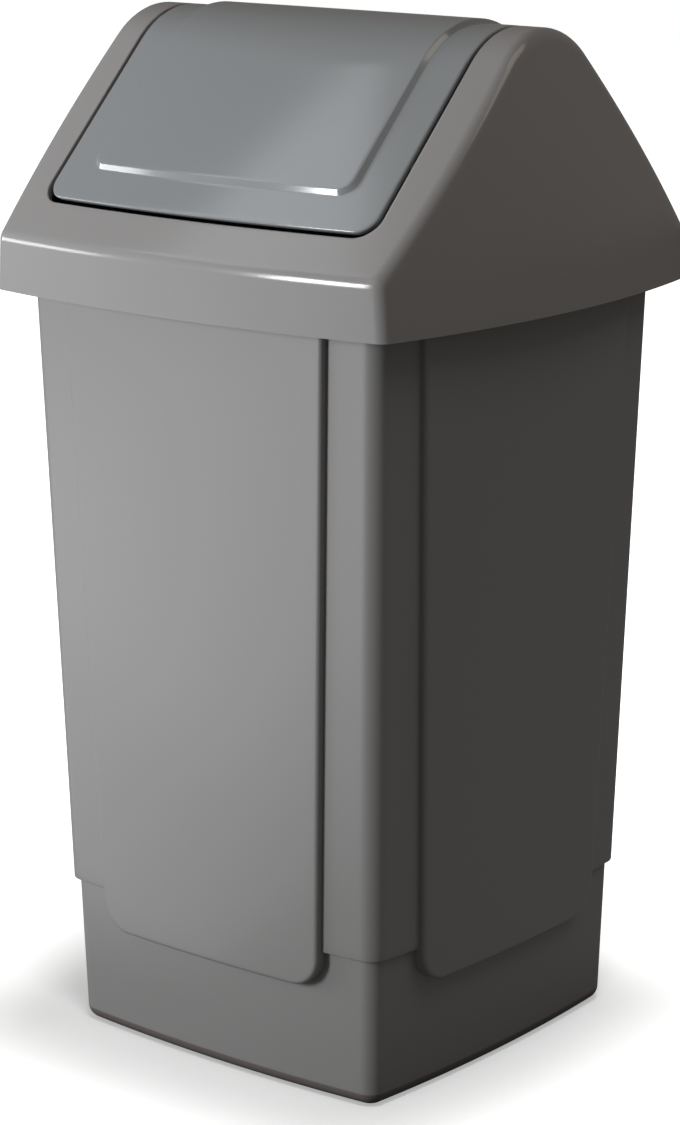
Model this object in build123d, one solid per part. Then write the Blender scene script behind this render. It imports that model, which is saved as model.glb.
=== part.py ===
import os
from math import cos, radians, sin, tan

from build123d import *

# Swing-lid kitchen bin: a square tapered tub, a roof-shaped hood that lifts off it,
# and a saddle-shaped flap that swings in the hood's mouth on two pins.
# Millimetres, +Z up, origin at the middle of the underside, front face towards -Y.

# Tub, outside. Its width is measured between the middles of opposite sides, at the rim.
# Below, each side leans in by the draft, steps in, and leans in again down to the floor.
tub_height = 519.0
tub_width = 302.4
body_draft = 11.9
step_depth = 4.55
base_height = 101.0
base_draft = 2.85
tub_side_bow = 7.8
base_side_bow = 6.3
pillar_radius = 13.3
base_corner_radius = 11.7
bottom_edge_radius = 10.0
tub_wall = 2.4
floor_thickness = 3.0

# Raised panel on each side of the tub, and the pillars that it leaves beside it
panel_proud = 4.7
pillar_width_top = 44.2
pillar_width_foot = 47.6
panel_foot_drop = 24.5
panel_corner_radius = 21.0
panel_edge_radius = 2.6
panel_inner_radius = 1.4

# Rim of the tub, hidden by the hood: a flange that stands out to a lip inside the skirt
rim_flange_side = 23.0
rim_flange_front = 16.1
rim_thickness = 2.6
rim_lip_height = 11.0
rim_clearance = 1.2
rim_edge_radius = 1.0

# Hood, outside. The ridge's radius is the one at its middle.
hood_overlap = 19.0
crease_height = 36.0
slope_angle = 45.3
ridge_radius = 85.87
hood_front_bow = 12.9
hood_gable_bow = 19.1
gable_lean = 17.0
gable_crown = 2.0
crease_radius = 10.5
hood_edge_radius = 9.5
least_corner_radius = 4.0
hood_wall = 2.4
seat_width = 13.0
seat_thickness = 2.4

# Mouth of the hood
mouth_side_frame = 42.4
mouth_edge_rise = 21.7
mouth_corner_radius = 15.0
mouth_lip_depth = 5.5

# Swing flap
flap_side_gap = 3.0
flap_end_gap = 4.0
flap_wall = 2.2
flap_lip_depth = 3.4
flap_corner_radius = 13.0
raised_proud = 2.8
raised_side_inset = 25.4
raised_end_inset = 25.0
raised_root = 0.6
raised_corner_radius = 12.0

# Pivots
pivot_drop = 27.0
pin_diameter = 8.0
pin_running_gap = 0.06
pin_head_diameter = 13.0
pin_head_thickness = 2.0
pin_tip_chamfer = 0.8
pin_tip_stand_out = 1.5
cheek_thickness = 3.2
ear_thickness = 4.0
ear_radius = 9.0
ear_root_width = 46.0

# How far sketches run past what they cut or join, and how far a cut passes a face
sketch_margin = 30.0
roof_overrun = 10.0
cut_margin = 1.0

# Heights and half widths that follow from the sizes above
slope = radians(slope_angle)
body_half_top = tub_width / 2
body_half_foot = body_half_top - body_draft
base_half_top = body_half_foot - step_depth
panel_foot_z = base_height - panel_foot_drop
hood_half_x = body_half_top + rim_flange_side + rim_clearance + hood_wall
hood_half_y = body_half_top + rim_flange_front + rim_clearance + hood_wall
hood_corner_x = hood_half_x - hood_gable_bow
hood_corner_y = hood_half_y - hood_front_bow
hood_bottom = tub_height - hood_overlap
crease_z = hood_bottom + crease_height
roof_rise = (hood_half_y * sin(slope) - ridge_radius * (1 - cos(slope))) / cos(slope)
ridge_z = crease_z + roof_rise
pivot_z = ridge_z - pivot_drop
mouth_half = hood_half_x - mouth_side_frame
flap_half = mouth_half - flap_side_gap


def bowed_square(half_x, half_y, bow_x, bow_y, corner_radius, height):
    """Square outline whose sides bulge outwards by bow_x and bow_y, with rounded corners."""
    x = half_x - bow_x
    y = half_y - bow_y
    sides = [
        ThreePointArc((-x, -y), (0, -half_y), (x, -y)),
        ThreePointArc((x, -y), (half_x, 0), (x, y)),
        ThreePointArc((x, y), (0, half_y), (-x, y)),
        ThreePointArc((-x, y), (-half_x, 0), (-x, -y)),
    ]
    face = make_face(sides)
    face = fillet(face.vertices(), corner_radius)
    return Pos(0, 0, height) * face


def tub_layer(half, bow, corner_radius, height):
    return bowed_square(half, half, bow, bow, corner_radius, height)


def body_half(height):
    """Half width of the tub at a height above the step; the draft spreads over the whole wall."""
    return body_half_top - body_draft * (tub_height - height) / (tub_height - base_height)


def base_half(height):
    """Half width of the tub at a height below the step."""
    return base_half_top - base_draft * (base_height - height) / base_height


def body_block(inset, low, high):
    radius = pillar_radius - inset
    return loft([
        tub_layer(body_half(low) - inset, tub_side_bow, radius, low).face(),
        tub_layer(body_half(high) - inset, tub_side_bow, radius, high).face(),
    ])


def base_block(inset, low, high):
    radius = base_corner_radius - inset
    return loft([
        tub_layer(base_half(low) - inset, base_side_bow, radius, low).face(),
        tub_layer(base_half(high) - inset, base_side_bow, radius, high).face(),
    ])


def panel_half(height):
    """Half width of a raised panel at a height; the pillars beside it widen towards the floor."""
    share = (tub_height - height) / (tub_height - panel_foot_z)
    pillar = pillar_width_top + (pillar_width_foot - pillar_width_top) * share
    return body_half(height) - pillar


def panel_blocks(inset, edge_radius, high):
    """The four raised panels, each a slice of a wider tub body cut to the panel's outline."""
    low = panel_foot_z + inset
    deep = panel_foot_z - sketch_margin
    wider = loft([
        tub_layer(body_half(z) + panel_proud - inset, tub_side_bow, pillar_radius, z).face()
        for z in (deep, high)
    ])
    outline = Polyline(
        (-panel_half(low) + inset, low),
        (panel_half(low) - inset, low),
        (panel_half(high) - inset, high),
        (-panel_half(high) + inset, high),
        close=True,
    )
    face = make_face(outline)
    feet = face.vertices().sort_by(Axis.Y)[:2]
    face = fillet(feet, panel_corner_radius - inset)
    front = extrude(Plane.XZ * face, body_half_top + sketch_margin) & wider
    outer = front.faces().sort_by(Axis.Y)[0]
    edges = [e for e in outer.edges() if e.center().Z < high - cut_margin]
    front = fillet(edges, edge_radius)
    return [Rot(0, 0, 90 * turn) * front for turn in range(4)]


def tub_form(inset, edge_radius, low, high):
    """Solid tub without its rim, set in by the inset: the outside, or the space inside."""
    step = base_height + inset
    form = base_block(inset, low, step) + body_block(inset, step, high)
    for panel in panel_blocks(inset, edge_radius, high):
        form += panel
    return form


def hood_outline(inset, height):
    """Outline of the hood's skirt, set in by the inset."""
    return bowed_square(
        hood_half_x - inset,
        hood_half_y - inset,
        hood_gable_bow,
        hood_front_bow,
        max(hood_edge_radius - inset, least_corner_radius),
        height,
    )


def tub():
    """Tub with a flange at its rim that carries the hood and turns down inside the skirt."""
    outside = tub_form(0.0, panel_edge_radius, 0.0, tub_height)
    bottom = outside.faces().sort_by(Axis.Z)[0]
    outside = fillet(bottom.edges(), bottom_edge_radius)
    rim_inset = hood_wall + rim_clearance
    rim = extrude(hood_outline(rim_inset, tub_height - rim_lip_height), rim_lip_height)
    rim = fillet(rim.faces().sort_by(Axis.Z)[-1].edges(), rim_edge_radius)
    below = extrude(
        hood_outline(rim_inset + rim_thickness, tub_height - rim_lip_height - cut_margin),
        rim_lip_height + cut_margin - rim_thickness,
    )
    rim -= below
    inside = tub_form(tub_wall, panel_inner_radius, floor_thickness, tub_height + cut_margin)
    floor_face = inside.faces().sort_by(Axis.Z)[0]
    inside = fillet(floor_face.edges(), bottom_edge_radius - tub_wall)
    return outside + rim - inside


def eaves_y(x):
    """How far the front of the skirt lies from the middle plane at a distance x along it."""
    return hood_half_y - hood_front_bow * (x / hood_corner_x) ** 2


def roof_profile(x, inset):
    """Section of the roof across the ridge at a distance x from the middle."""
    y = eaves_y(x)
    arc_radius = (y * sin(slope) - roof_rise * cos(slope)) / (1 - cos(slope))
    centre = ridge_z - arc_radius
    arc_radius -= inset
    corner_y = y - inset
    corner_z = crease_z - inset * (1 - cos(slope)) / sin(slope)
    rounding = crease_radius - inset
    setback = rounding * tan((radians(90) - slope) / 2)
    turn = (radians(90) - slope) / 2
    low = hood_bottom - sketch_margin
    lower = (corner_y, corner_z - setback)
    upper = (corner_y - setback * cos(slope), corner_z + setback * sin(slope))
    middle = (
        corner_y - rounding * (1 - cos(turn)),
        corner_z - setback + rounding * sin(turn),
    )
    ridge = (arc_radius * sin(slope), centre + arc_radius * cos(slope))
    outline = [
        Line((-corner_y, low), (corner_y, low)),
        Line((corner_y, low), lower),
        ThreePointArc(lower, middle, upper),
        Line(upper, ridge),
        ThreePointArc(ridge, (0, centre + arc_radius), (-ridge[0], ridge[1])),
        Line((-ridge[0], ridge[1]), (-upper[0], upper[1])),
        ThreePointArc((-upper[0], upper[1]), (-middle[0], middle[1]), (-lower[0], lower[1])),
        Line((-lower[0], lower[1]), (-corner_y, low)),
    ]
    return Plane.YZ.offset(x) * make_face(outline)


def roof(inset):
    """Endless roof: sections across the ridge, joined along it so that the slopes bulge."""
    reach = hood_half_x + roof_overrun
    return loft([roof_profile(x, inset).face() for x in (-reach, 0, reach)])


def gable_barrel(inset):
    """Barrel whose right side is the gable: bowed in plan, crowned and leaning in upwards."""
    half_chord = hood_corner_y
    plan_radius = (half_chord**2 + hood_gable_bow**2) / (2 * hood_gable_bow)
    low = hood_bottom - sketch_margin
    high = ridge_z + sketch_margin

    def side_place(z):
        share = (z - hood_bottom) / (ridge_z - hood_bottom)
        crown = 4 * gable_crown * share * (1 - share)
        return (inset + gable_lean * share - crown - plan_radius, z)

    outline = [
        Line((0, low), side_place(low)),
        ThreePointArc(side_place(low), side_place((low + high) / 2), side_place(high)),
        Line(side_place(high), (0, high)),
        Line((0, high), (0, low)),
    ]
    side = revolve(Plane.XZ * make_face(outline), Axis.Z, 360)
    return Pos(hood_half_x - plan_radius, 0, 0) * side


def hood_form(inset):
    """Solid hood set in by the inset: the roof cut by both gables, with their edges rounded."""
    barrel = gable_barrel(inset)
    form = roof(inset) & barrel
    form = form & (Rot(0, 0, 180) * barrel)
    gables = [form.faces().sort_by(Axis.X)[0], form.faces().sort_by(Axis.X)[-1]]
    low = hood_bottom - sketch_margin
    edges = [e for face in gables for e in face.edges() if e.center().Z > low + cut_margin]
    return fillet(edges, hood_edge_radius - inset)


def mouth_tool(side_inset, end_inset, corner_radius, deep):
    """Block that cuts through both slopes and the ridge, square to the front slope."""
    half = mouth_half - side_inset

    def edge_place(x):
        y = eaves_y(x) - mouth_edge_rise / tan(slope)
        return (hood_half_y - y) * cos(slope) + mouth_edge_rise * sin(slope) + end_inset

    top = roof_rise / sin(slope) + sketch_margin
    outline = [
        ThreePointArc((-half, edge_place(half)), (0, edge_place(0)), (half, edge_place(half))),
        Line((half, edge_place(half)), (half, top)),
        Line((half, top), (-half, top)),
        Line((-half, top), (-half, edge_place(half))),
    ]
    face = make_face(outline)
    feet = face.vertices().sort_by(Axis.Y)[:2]
    face = fillet(feet, corner_radius)
    slope_plane = Plane(
        origin=(0, -hood_half_y, crease_z),
        x_dir=(1, 0, 0),
        z_dir=(0, -sin(slope), cos(slope)),
    )
    block = extrude(slope_plane.offset(-deep) * face, deep + sketch_margin)
    return block + Rot(0, 0, 180) * block


def ear(start, thickness, inset, bore_radius):
    """Bored plate that hangs from the ridge down to the pivot, rounded about the pivot."""
    top = ridge_z + sketch_margin
    round_end = Pos(0, pivot_z) * Circle(ear_radius)
    taper = Polygon(
        (-ear_radius, pivot_z),
        (ear_radius, pivot_z),
        (ear_root_width / 2, ridge_z - pivot_drop / 2),
        (ear_root_width / 2, top),
        (-ear_root_width / 2, top),
        (-ear_root_width / 2, ridge_z - pivot_drop / 2),
        align=None,
    )
    plate = extrude(Plane.YZ.offset(start) * (round_end + taper), thickness)
    bore = Pos(0, 0, pivot_z) * Rot(0, 90, 0) * Cylinder(bore_radius, 2 * hood_half_x)
    return (plate & roof(inset)) - bore


def hood():
    """Hood shell with the ledge that rests on the rim, the mouth's lip and two pivot ears."""
    shell = hood_form(0.0) - hood_form(hood_wall)
    seat_z = tub_height
    seat = extrude(hood_outline(0.0, seat_z), seat_thickness) & hood_form(hood_wall / 2)
    seat -= extrude(
        hood_outline(hood_wall + seat_width, seat_z - cut_margin), seat_thickness + 2 * cut_margin
    )
    shell += seat
    lip = roof(hood_wall / 2) - roof(mouth_lip_depth)
    lip &= mouth_tool(-hood_wall, -hood_wall, mouth_corner_radius + hood_wall, 2 * pivot_drop)
    shell += lip
    shell -= mouth_tool(0.0, 0.0, mouth_corner_radius, 2 * pivot_drop)
    bore_radius = pin_diameter / 2 + pin_running_gap
    for start in (mouth_half, -mouth_half - ear_thickness):
        shell += ear(start, ear_thickness, hood_wall / 2, bore_radius)
    below = Box(4 * hood_half_x, 4 * hood_half_y, 2 * sketch_margin)
    return shell - Pos(0, 0, hood_bottom - sketch_margin) * below


def swing_flap():
    """Flap whose border lies in the mouth, with a raised panel whose sides slant at 45 degrees."""
    deep = 2 * pivot_drop
    border = mouth_tool(flap_side_gap, flap_end_gap, flap_corner_radius, deep)
    side = flap_side_gap + raised_side_inset
    end = flap_end_gap + raised_end_inset
    raised = mouth_tool(
        side - raised_root, end - raised_root, raised_corner_radius + raised_root, deep
    )
    plateau = roof(-raised_proud) & raised
    steepest = cos(slope) / 2
    upper = [f for f in plateau.faces() if f.normal_at().Z > steepest]
    rims = [e for e in ShapeList(upper).edges() if sum(e in f.edges() for f in upper) == 1]
    plateau = chamfer(rims, raised_proud + raised_root)
    outside = (roof(0.0) & border) + plateau
    outside -= roof(flap_lip_depth)
    pocket = roof(flap_wall) & mouth_tool(
        flap_side_gap + flap_wall, flap_end_gap + flap_wall, flap_corner_radius - flap_wall, deep
    )
    pocket += roof(flap_wall - raised_proud) & mouth_tool(
        side + raised_proud, end + raised_proud, raised_corner_radius - raised_proud, deep
    )
    flap = outside - pocket
    for start in (flap_half - cheek_thickness, -flap_half):
        flap += ear(start, cheek_thickness, flap_wall / 2, pin_diameter / 2)
    return flap


def pivot_pin(side):
    """Headed pin pressed outwards through the flap's cheek, turning in the hood's ear."""
    head_start = flap_half - cheek_thickness - pin_head_thickness
    shank_end = mouth_half + ear_thickness + pin_tip_stand_out
    length = shank_end - head_start
    head = Cylinder(
        pin_head_diameter / 2, pin_head_thickness, align=(Align.CENTER, Align.CENTER, Align.MIN)
    )
    shank = Cylinder(pin_diameter / 2, length, align=(Align.CENTER, Align.CENTER, Align.MIN))
    tip = shank.edges().sort_by(Axis.Z)[-1]
    pin = head + chamfer(tip, pin_tip_chamfer)
    place = Pos(side * head_start, 0, pivot_z) * Rot(0, 90 * side, 0)
    return place * pin


def main():
    os.makedirs("parts", exist_ok=True)
    pieces = {
        "tub": tub(),
        "hood": hood(),
        "swing_flap": swing_flap(),
        "pivot_pin_left": pivot_pin(-1),
        "pivot_pin_right": pivot_pin(1),
    }
    for name, solid in pieces.items():
        export_step(solid, f"parts/{name}.step")
        box = solid.bounding_box()
        print(name, "volume", round(solid.volume / 1000, 1), "cm3", "box", box.min, box.max)


main()
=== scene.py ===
# %% [markdown]
# # A swing-lid kitchen bin
# The bin is three plastic mouldings and two pins. The imported CAD model fixes where everything is and how
# it moves. This lesson gives each moulding a finished surface, a plastic for it to be made of, and a
# plain studio to stand in. First the imported model is loaded.

# %% Load the imported model
import bpy
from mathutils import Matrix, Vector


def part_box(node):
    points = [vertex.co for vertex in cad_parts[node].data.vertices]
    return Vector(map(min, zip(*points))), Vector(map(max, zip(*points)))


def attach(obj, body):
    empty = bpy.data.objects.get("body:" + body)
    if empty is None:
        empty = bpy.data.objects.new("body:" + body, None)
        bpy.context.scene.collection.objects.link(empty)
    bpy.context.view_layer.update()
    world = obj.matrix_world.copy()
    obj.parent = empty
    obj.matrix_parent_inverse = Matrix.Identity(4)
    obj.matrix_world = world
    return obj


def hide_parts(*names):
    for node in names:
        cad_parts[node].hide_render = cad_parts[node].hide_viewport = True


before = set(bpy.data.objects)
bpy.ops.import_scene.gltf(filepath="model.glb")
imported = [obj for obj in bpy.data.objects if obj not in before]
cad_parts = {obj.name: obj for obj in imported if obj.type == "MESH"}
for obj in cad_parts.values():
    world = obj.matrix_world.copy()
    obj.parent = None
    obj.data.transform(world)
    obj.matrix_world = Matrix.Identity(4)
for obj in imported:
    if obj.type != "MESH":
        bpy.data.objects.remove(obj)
bpy.context.view_layer.update()

# %% Libraries
import math

import bmesh
import numpy as np
from mathutils import Matrix, Vector

# %% [markdown]
# ## Sizes
# All shapes below are worked out in millimetres, because that is how a mould maker would speak of them,
# and they become metres when the mesh is made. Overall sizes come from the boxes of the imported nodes, so
# the surfaces follow the CAD model. Radii and bulges are the moulding's own sizes.

# %% Sizes taken from the frame
MILLIMETRE = 0.001
CUBIC_METRE_IN_CM3 = 1e6


def box_mm(node):
    """Lowest and highest corner of a CAD node, in millimetres."""
    low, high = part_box(node)
    return np.array(low) / MILLIMETRE, np.array(high) / MILLIMETRE


tub_height = box_mm("tub")[1][2]
hood_low, hood_high = box_mm("hood")
hood_half_y = hood_high[1]
hood_bottom = hood_low[2]
ridge_z = hood_high[2]
flap_half = box_mm("swing_flap")[1][0]
pin_low, pin_high = box_mm("pivot_pin_right")
pivot_z = (pin_low[2] + pin_high[2]) / 2
print("hood half depth, bottom, ridge:", hood_half_y, hood_bottom, ridge_z)

# %% Sizes of the tub
tub_wall = 2.4
floor_thickness = 3.0
front_flange = 19.7
side_flange = 26.6
body_half_top = hood_half_y - front_flange
hood_half_x = body_half_top + side_flange
body_draft = 11.9
step_depth = 4.55
base_height = 101.0
base_draft = 2.85
body_bow = 7.8
base_bow = 6.3
pillar_radius = 13.3
base_corner_radius = 11.7
bottom_radius = 10.0
step_edge_radius = 0.9
panel_proud = 4.7
pillar_width_top = 44.2
pillar_width_foot = 47.6
panel_foot_z = base_height - 24.5
panel_corner_radius = 21.0
panel_edge_radius = 2.6
panel_inner_radius = 1.4
rim_gap = 3.6
rim_thickness = 2.6
rim_lip_height = 11.0
rim_edge_radius = 1.0
print("tub: height", round(tub_height, 1), "half width under the rim", round(body_half_top, 1))

# %% Sizes of the hood
hood_wall = 2.4
slope = math.radians(45.3)
crease_z = hood_bottom + 36.0
crease_radius = 10.5
front_bow = 12.9
gable_bow = 19.1
gable_lean = 17.0
gable_crown = 2.0
hood_edge_radius = 9.5
least_corner_radius = 4.0
corner_x = hood_half_x - gable_bow
corner_y = hood_half_y - front_bow
seat_width = 13.0
seat_thickness = 2.4
mouth_half = flap_half + 3.0
mouth_edge_z = crease_z + 21.7
mouth_corner_radius = 15.0
mouth_edge_radius = 0.9
mouth_lip_depth = 5.5
print("hood: half width", round(hood_half_x, 1), "crease at", round(crease_z, 1))

# %% Sizes of the flap
flap_wall = 2.2
flap_lip_depth = 4.4
flap_lip_tuck = 1.2
flap_end_gap = 4.0
flap_corner_radius = 13.0
flap_edge_radius = 1.1
raised_side_inset = 25.4
raised_end_inset = 25.0
raised_proud = 2.8
raised_corner_radius = 12.0
raised_edge_radius = 1.3
raised_foot_radius = 0.9
ear_radius = 9.0
ear_half_root = 23.0
ear_thickness = 4.0
cheek_thickness = 3.2
pin_radius = 4.0
bore_radius = 4.06
print("flap: half width", round(flap_half, 1), "turns at", round(pivot_z, 1))

# %% [markdown]
# ## From grids of points to a mesh
# Every surface here is a rectangular grid of points that a formula gives for two parameters. A moulding
# is several such grids that share their border points. The helper below collects grids, joins points
# that lie at one place, turns the faces outwards, and marks as sharp only the edges that are sharp.


# %% Object helper
def shown(name, data):
    """A new object that holds a mesh, lamp or camera, put into the scene."""
    made = bpy.data.objects.new(name, data)
    bpy.context.scene.collection.objects.link(made)
    return made


# %% Mesh helper
class Skin:
    """Collects grids of points in millimetres and makes one closed mesh of them."""

    def __init__(self):
        self.points = []
        self.faces = []
        self.count = 0

    def grid(self, points, closed=False):
        """Adds quads between neighbouring points of an array of rows, columns and 3 coordinates."""
        rows, columns = points.shape[:2]
        index = self.count + np.arange(rows * columns).reshape(rows, columns)
        if closed:
            index = np.concatenate([index, index[:, :1]], axis=1)
        quads = np.stack([index[:-1, :-1], index[:-1, 1:], index[1:, 1:], index[1:, :-1]], axis=-1)
        self.points.append(points.reshape(-1, 3))
        self.faces.append(quads.reshape(-1, 4))
        self.count += rows * columns

    def disc(self, loop, centre, rings):
        """Closes a loop of points with rings that shrink to its centre."""
        share = np.linspace(0, 1, rings + 1)[:, None, None]
        self.grid(loop[None] * (1 - share) + np.asarray(centre, float) * share, closed=True)

    def build(self, name, sharp_angle=35.0, join_within=0.002):
        """Makes the object. Points closer than join_within become one, and flat faces left over go."""
        mesh = bpy.data.meshes.new(name)
        points = np.concatenate(self.points) * MILLIMETRE
        faces = np.concatenate(self.faces)
        mesh.from_pydata(points, [], faces)
        work = bmesh.new()
        work.from_mesh(mesh)
        bmesh.ops.remove_doubles(work, verts=work.verts, dist=join_within * MILLIMETRE)
        bmesh.ops.dissolve_degenerate(work, edges=work.edges, dist=join_within * MILLIMETRE / 10)
        bmesh.ops.recalc_face_normals(work, faces=work.faces)
        open_edges = sum(1 for edge in work.edges if len(edge.link_faces) != 2)
        volume = work.calc_volume(signed=True) * CUBIC_METRE_IN_CM3
        work.to_mesh(mesh)
        work.free()
        mesh.polygons.foreach_set("use_smooth", np.ones(len(mesh.polygons), bool))
        mesh.set_sharp_from_angle(angle=math.radians(sharp_angle))
        print(name, "faces", len(mesh.polygons), "open edges", open_edges, "volume cm3", round(volume, 1))
        return shown(name, mesh)


def turned(points, quarter_turns):
    """The points turned about the upright axis by a number of quarter turns."""
    angle = math.radians(90 * quarter_turns)
    turn = np.array(Matrix.Rotation(angle, 3, "Z"))
    return points @ turn.T


def mirrored(points, axis):
    """The points mirrored in the middle plane of an axis, 0 for x and 1 for y."""
    copy = points.copy()
    copy[..., axis] *= -1
    return copy


def stacked(x, y, z):
    """Three arrays of one shape as one array of points."""
    return np.stack(np.broadcast_arrays(x, y, z), axis=-1).astype(float)


def quarter_round(radius, angles):
    """A rounded edge's distances from its two faces, at angles in degrees.

    They are the radius times one minus the sine, and times one minus the cosine.
    """
    turns = np.radians(angles)
    return [(radius * (1 - math.sin(turn)), radius * (1 - math.cos(turn))) for turn in turns]


# %% [markdown]
# ## Bowed outlines
# The sides of the bin are not flat. Each bulges outwards as a shallow arc, which keeps thin plastic from
# looking dented, and the corners between them are rounded. One circle through the ends and the middle of
# a side gives the bulge, and a small circle that touches two big ones from inside gives the corner.


# %% Outline formulas
CORNER_SHARES = np.linspace(0, 1, 10)


def arc_radius(half_chord, bow):
    """Radius of the circle that rises by bow over a chord of twice half_chord."""
    return (half_chord**2 + bow**2) / (2 * bow)


def side_reach(half, bow, along):
    """How far a square's bowed side stands from the middle at a distance along it."""
    radius = arc_radius(half - bow, bow)
    return half - radius + np.sqrt(radius**2 - along**2)


def corner_points(half_x, half_y, bow_x, bow_y, radius, share):
    """The rounded front right corner: share 0 is where it leaves the front side, 1 the right side.

    Its circle touches the big circles of both sides from inside, so its centre is where two circles about
    theirs, smaller by its radius, cross. Angles are measured from straight ahead.
    """
    front = arc_radius(half_x - bow_x, bow_y)
    side = arc_radius(half_y - bow_y, bow_x)
    front_y = front - half_y
    side_x = half_x - side
    apart = np.hypot(side_x, front_y)
    first = front - radius
    second = side - radius
    along = (first**2 - second**2 + apart**2) / (2 * apart)
    across = np.sqrt(first**2 - along**2)
    unit_x = side_x / apart
    unit_y = -front_y / apart
    x = along * unit_x - across * unit_y
    y = front_y + along * unit_y + across * unit_x
    low = np.arcsin(x / first)
    high = math.pi / 2 - np.arcsin(-y / second)
    angle = low + (high - low) * share
    return x + radius * np.sin(angle), y - radius * np.cos(angle)


def bowed_loop(sizes, z, side_shares):
    """Closed outline at one height, its sides at shares from -1 to 1. The sizes are as for a corner."""
    half_x, half_y, bow_x, bow_y, _ = sizes
    corner = stacked(*corner_points(*sizes, CORNER_SHARES[1:-1]), z)
    x = side_shares * corner_points(*sizes, 0.0)[0]
    big = arc_radius(half_x - bow_x, bow_y)
    front = stacked(x, big - half_y - np.sqrt(big**2 - x**2), z)
    y = side_shares * -corner_points(*sizes, 1.0)[1]
    big = arc_radius(half_y - bow_y, bow_x)
    right = stacked(half_x - big + np.sqrt(big**2 - y**2), y, z)
    half = np.concatenate([front, corner, right, mirrored(corner, 1)[::-1]])
    return np.concatenate([half, -half * (1, 1, -1)])


# %% [markdown]
# ## The tub
# One injection moulding: four bowed walls that lean in towards the floor, rounded pillars at the corners,
# a step above the base, and on each side a raised panel that runs down past the step. A plain grid of
# columns and rows can't follow the panel's round corners, so the side is laid out as a U: lines run down
# one edge of the panel, round its foot and up the other edge, nested from the middle of the panel out to
# the pillars. The same formulas, set in by the wall, give the inside, and a rim joins the two.


# %% Heights of the rows down a pillar
STRAIGHT_ROWS = 30
STEP_EDGE_POINTS = 5
above_step = 6.0
hair = 0.02
support = 1.5


def body_half(z):
    """Half width of the tub above the step. It shrinks evenly by the draft."""
    return body_half_top - body_draft * (tub_height - z) / (tub_height - base_height)


def base_half(z):
    """Half width of the tub below the step, set in by the step's depth."""
    return body_half_top - body_draft - step_depth - base_draft * (base_height - z) / base_height


def pillar_rows(inset, top):
    """Rows from the rim down to the foot of the panel's straight edge: height, half width, bulge, corner.

    The body's lower edge is a quarter round. The step under it is level but for a hair, and a row at the
    support distance below it keeps the shading of the base even.
    """
    step = base_height + inset
    outside = inset == 0
    edge = step_edge_radius if outside else 0.0
    angle = np.radians(np.linspace(0, 90, STEP_EDGE_POINTS if outside else 1))
    straight = np.linspace(top, step + above_step, STRAIGHT_ROWS)
    rounded = step + edge * (1 - np.sin(angle))
    tuck = edge * (1 - np.cos(angle))
    below = np.array([step - hair, step - support])
    z = np.concatenate([straight, rounded, below])
    body = np.concatenate([body_half(straight) - inset, body_half(rounded) - inset - tuck])
    half = np.concatenate([body, base_half(below) - inset])
    bow = np.concatenate([np.full(len(body), body_bow), np.full(2, base_bow)])
    pillar = pillar_radius - inset - np.concatenate([straight * 0, tuck])
    radius = np.concatenate([pillar, np.full(2, base_corner_radius - inset)])
    return z, half, bow, radius


# %% The panel's outline
PANEL_ARC_POINTS = 13
PANEL_FOOT_POINTS = 12


def panel_half(z):
    """Half width of the raised panel at a height."""
    share = (tub_height - z) / (tub_height - panel_foot_z)
    return body_half(z) - pillar_width_top - (pillar_width_foot - pillar_width_top) * share


def panel_outline(inward, rows):
    """Right half of the panel's outline, set in: down the edge, round the corner, to the middle."""
    lean = (panel_half(rows[0]) - panel_half(rows[-1])) / (rows[0] - rows[-1])
    length = math.hypot(1, lean)
    centre_z = panel_foot_z + panel_corner_radius
    centre_s = panel_half(centre_z) - panel_corner_radius * length
    radius = panel_corner_radius - inward
    angle = np.linspace(math.atan(lean), math.pi / 2, PANEL_ARC_POINTS)
    foot = np.linspace(centre_s, 0, PANEL_FOOT_POINTS + 1)[1:]
    foot_z = np.full(foot.shape, panel_foot_z + inward)
    s = np.concatenate([panel_half(rows) - inward * length, centre_s + radius * np.cos(angle), foot])
    z = np.concatenate([rows, centre_z - radius * np.sin(angle), foot_z])
    return s, z


def panel_face(s, z, inset):
    """The panel face's y at a distance from the middle and a height: a bowed side of its own reach."""
    return -side_reach(body_half(z) + panel_proud - inset, body_bow, s)


# %% The border round the panel's lines
first_drop = 0.06


def side_border(rows, outline_s, inset, low_z):
    """Outer border of the nested lines, and the pillar's rows continued below the step.

    While the panel's outline turns its corner, the border runs from a first drop below the last row down
    the pillar to where the bottom edge starts, and then in to the place below the corner's end.
    """
    row_z, row_half, row_bow, row_radius = rows
    edge_s = corner_points(row_half, row_half, row_bow, row_bow, row_radius, 0.0)[0]
    corner_shares = np.linspace(0, 1, PANEL_ARC_POINTS)
    down = np.clip(2 * corner_shares, 0, 1)
    along = np.clip(2 * corner_shares - 1, 0, 1)
    low = row_z[-1] + (low_z - row_z[-1]) * (first_drop + (1 - first_drop) * down)
    half = base_half(low) - inset
    radius = base_corner_radius - inset
    pillar_s = corner_points(half, half, base_bow, base_bow, radius, 0.0)[0]
    corner_end = len(row_z) + PANEL_ARC_POINTS
    foot_s = outline_s[corner_end:]
    s = np.concatenate([edge_s, pillar_s + (outline_s[corner_end - 1] - pillar_s) * along, foot_s])
    z = np.concatenate([row_z, low, np.full(foot_s.shape, low_z)])
    count = PANEL_ARC_POINTS // 2 + 1
    added = (low[:count], half[:count], np.full(count, base_bow), np.full(count, radius))
    return s, z, [np.concatenate(pair) for pair in zip(rows, added)]


def shares_along(a, b, middle):
    """Each point's share of the way along a line to its middle point, and then of the way to its end."""
    travelled = np.concatenate([[0], np.cumsum(np.hypot(np.diff(a), np.diff(b)))])
    first = np.clip(travelled / travelled[middle], 0, 1)
    rest = np.clip((travelled - travelled[middle]) / (travelled[-1] - travelled[middle]), 0, 1)
    return first, rest


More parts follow.
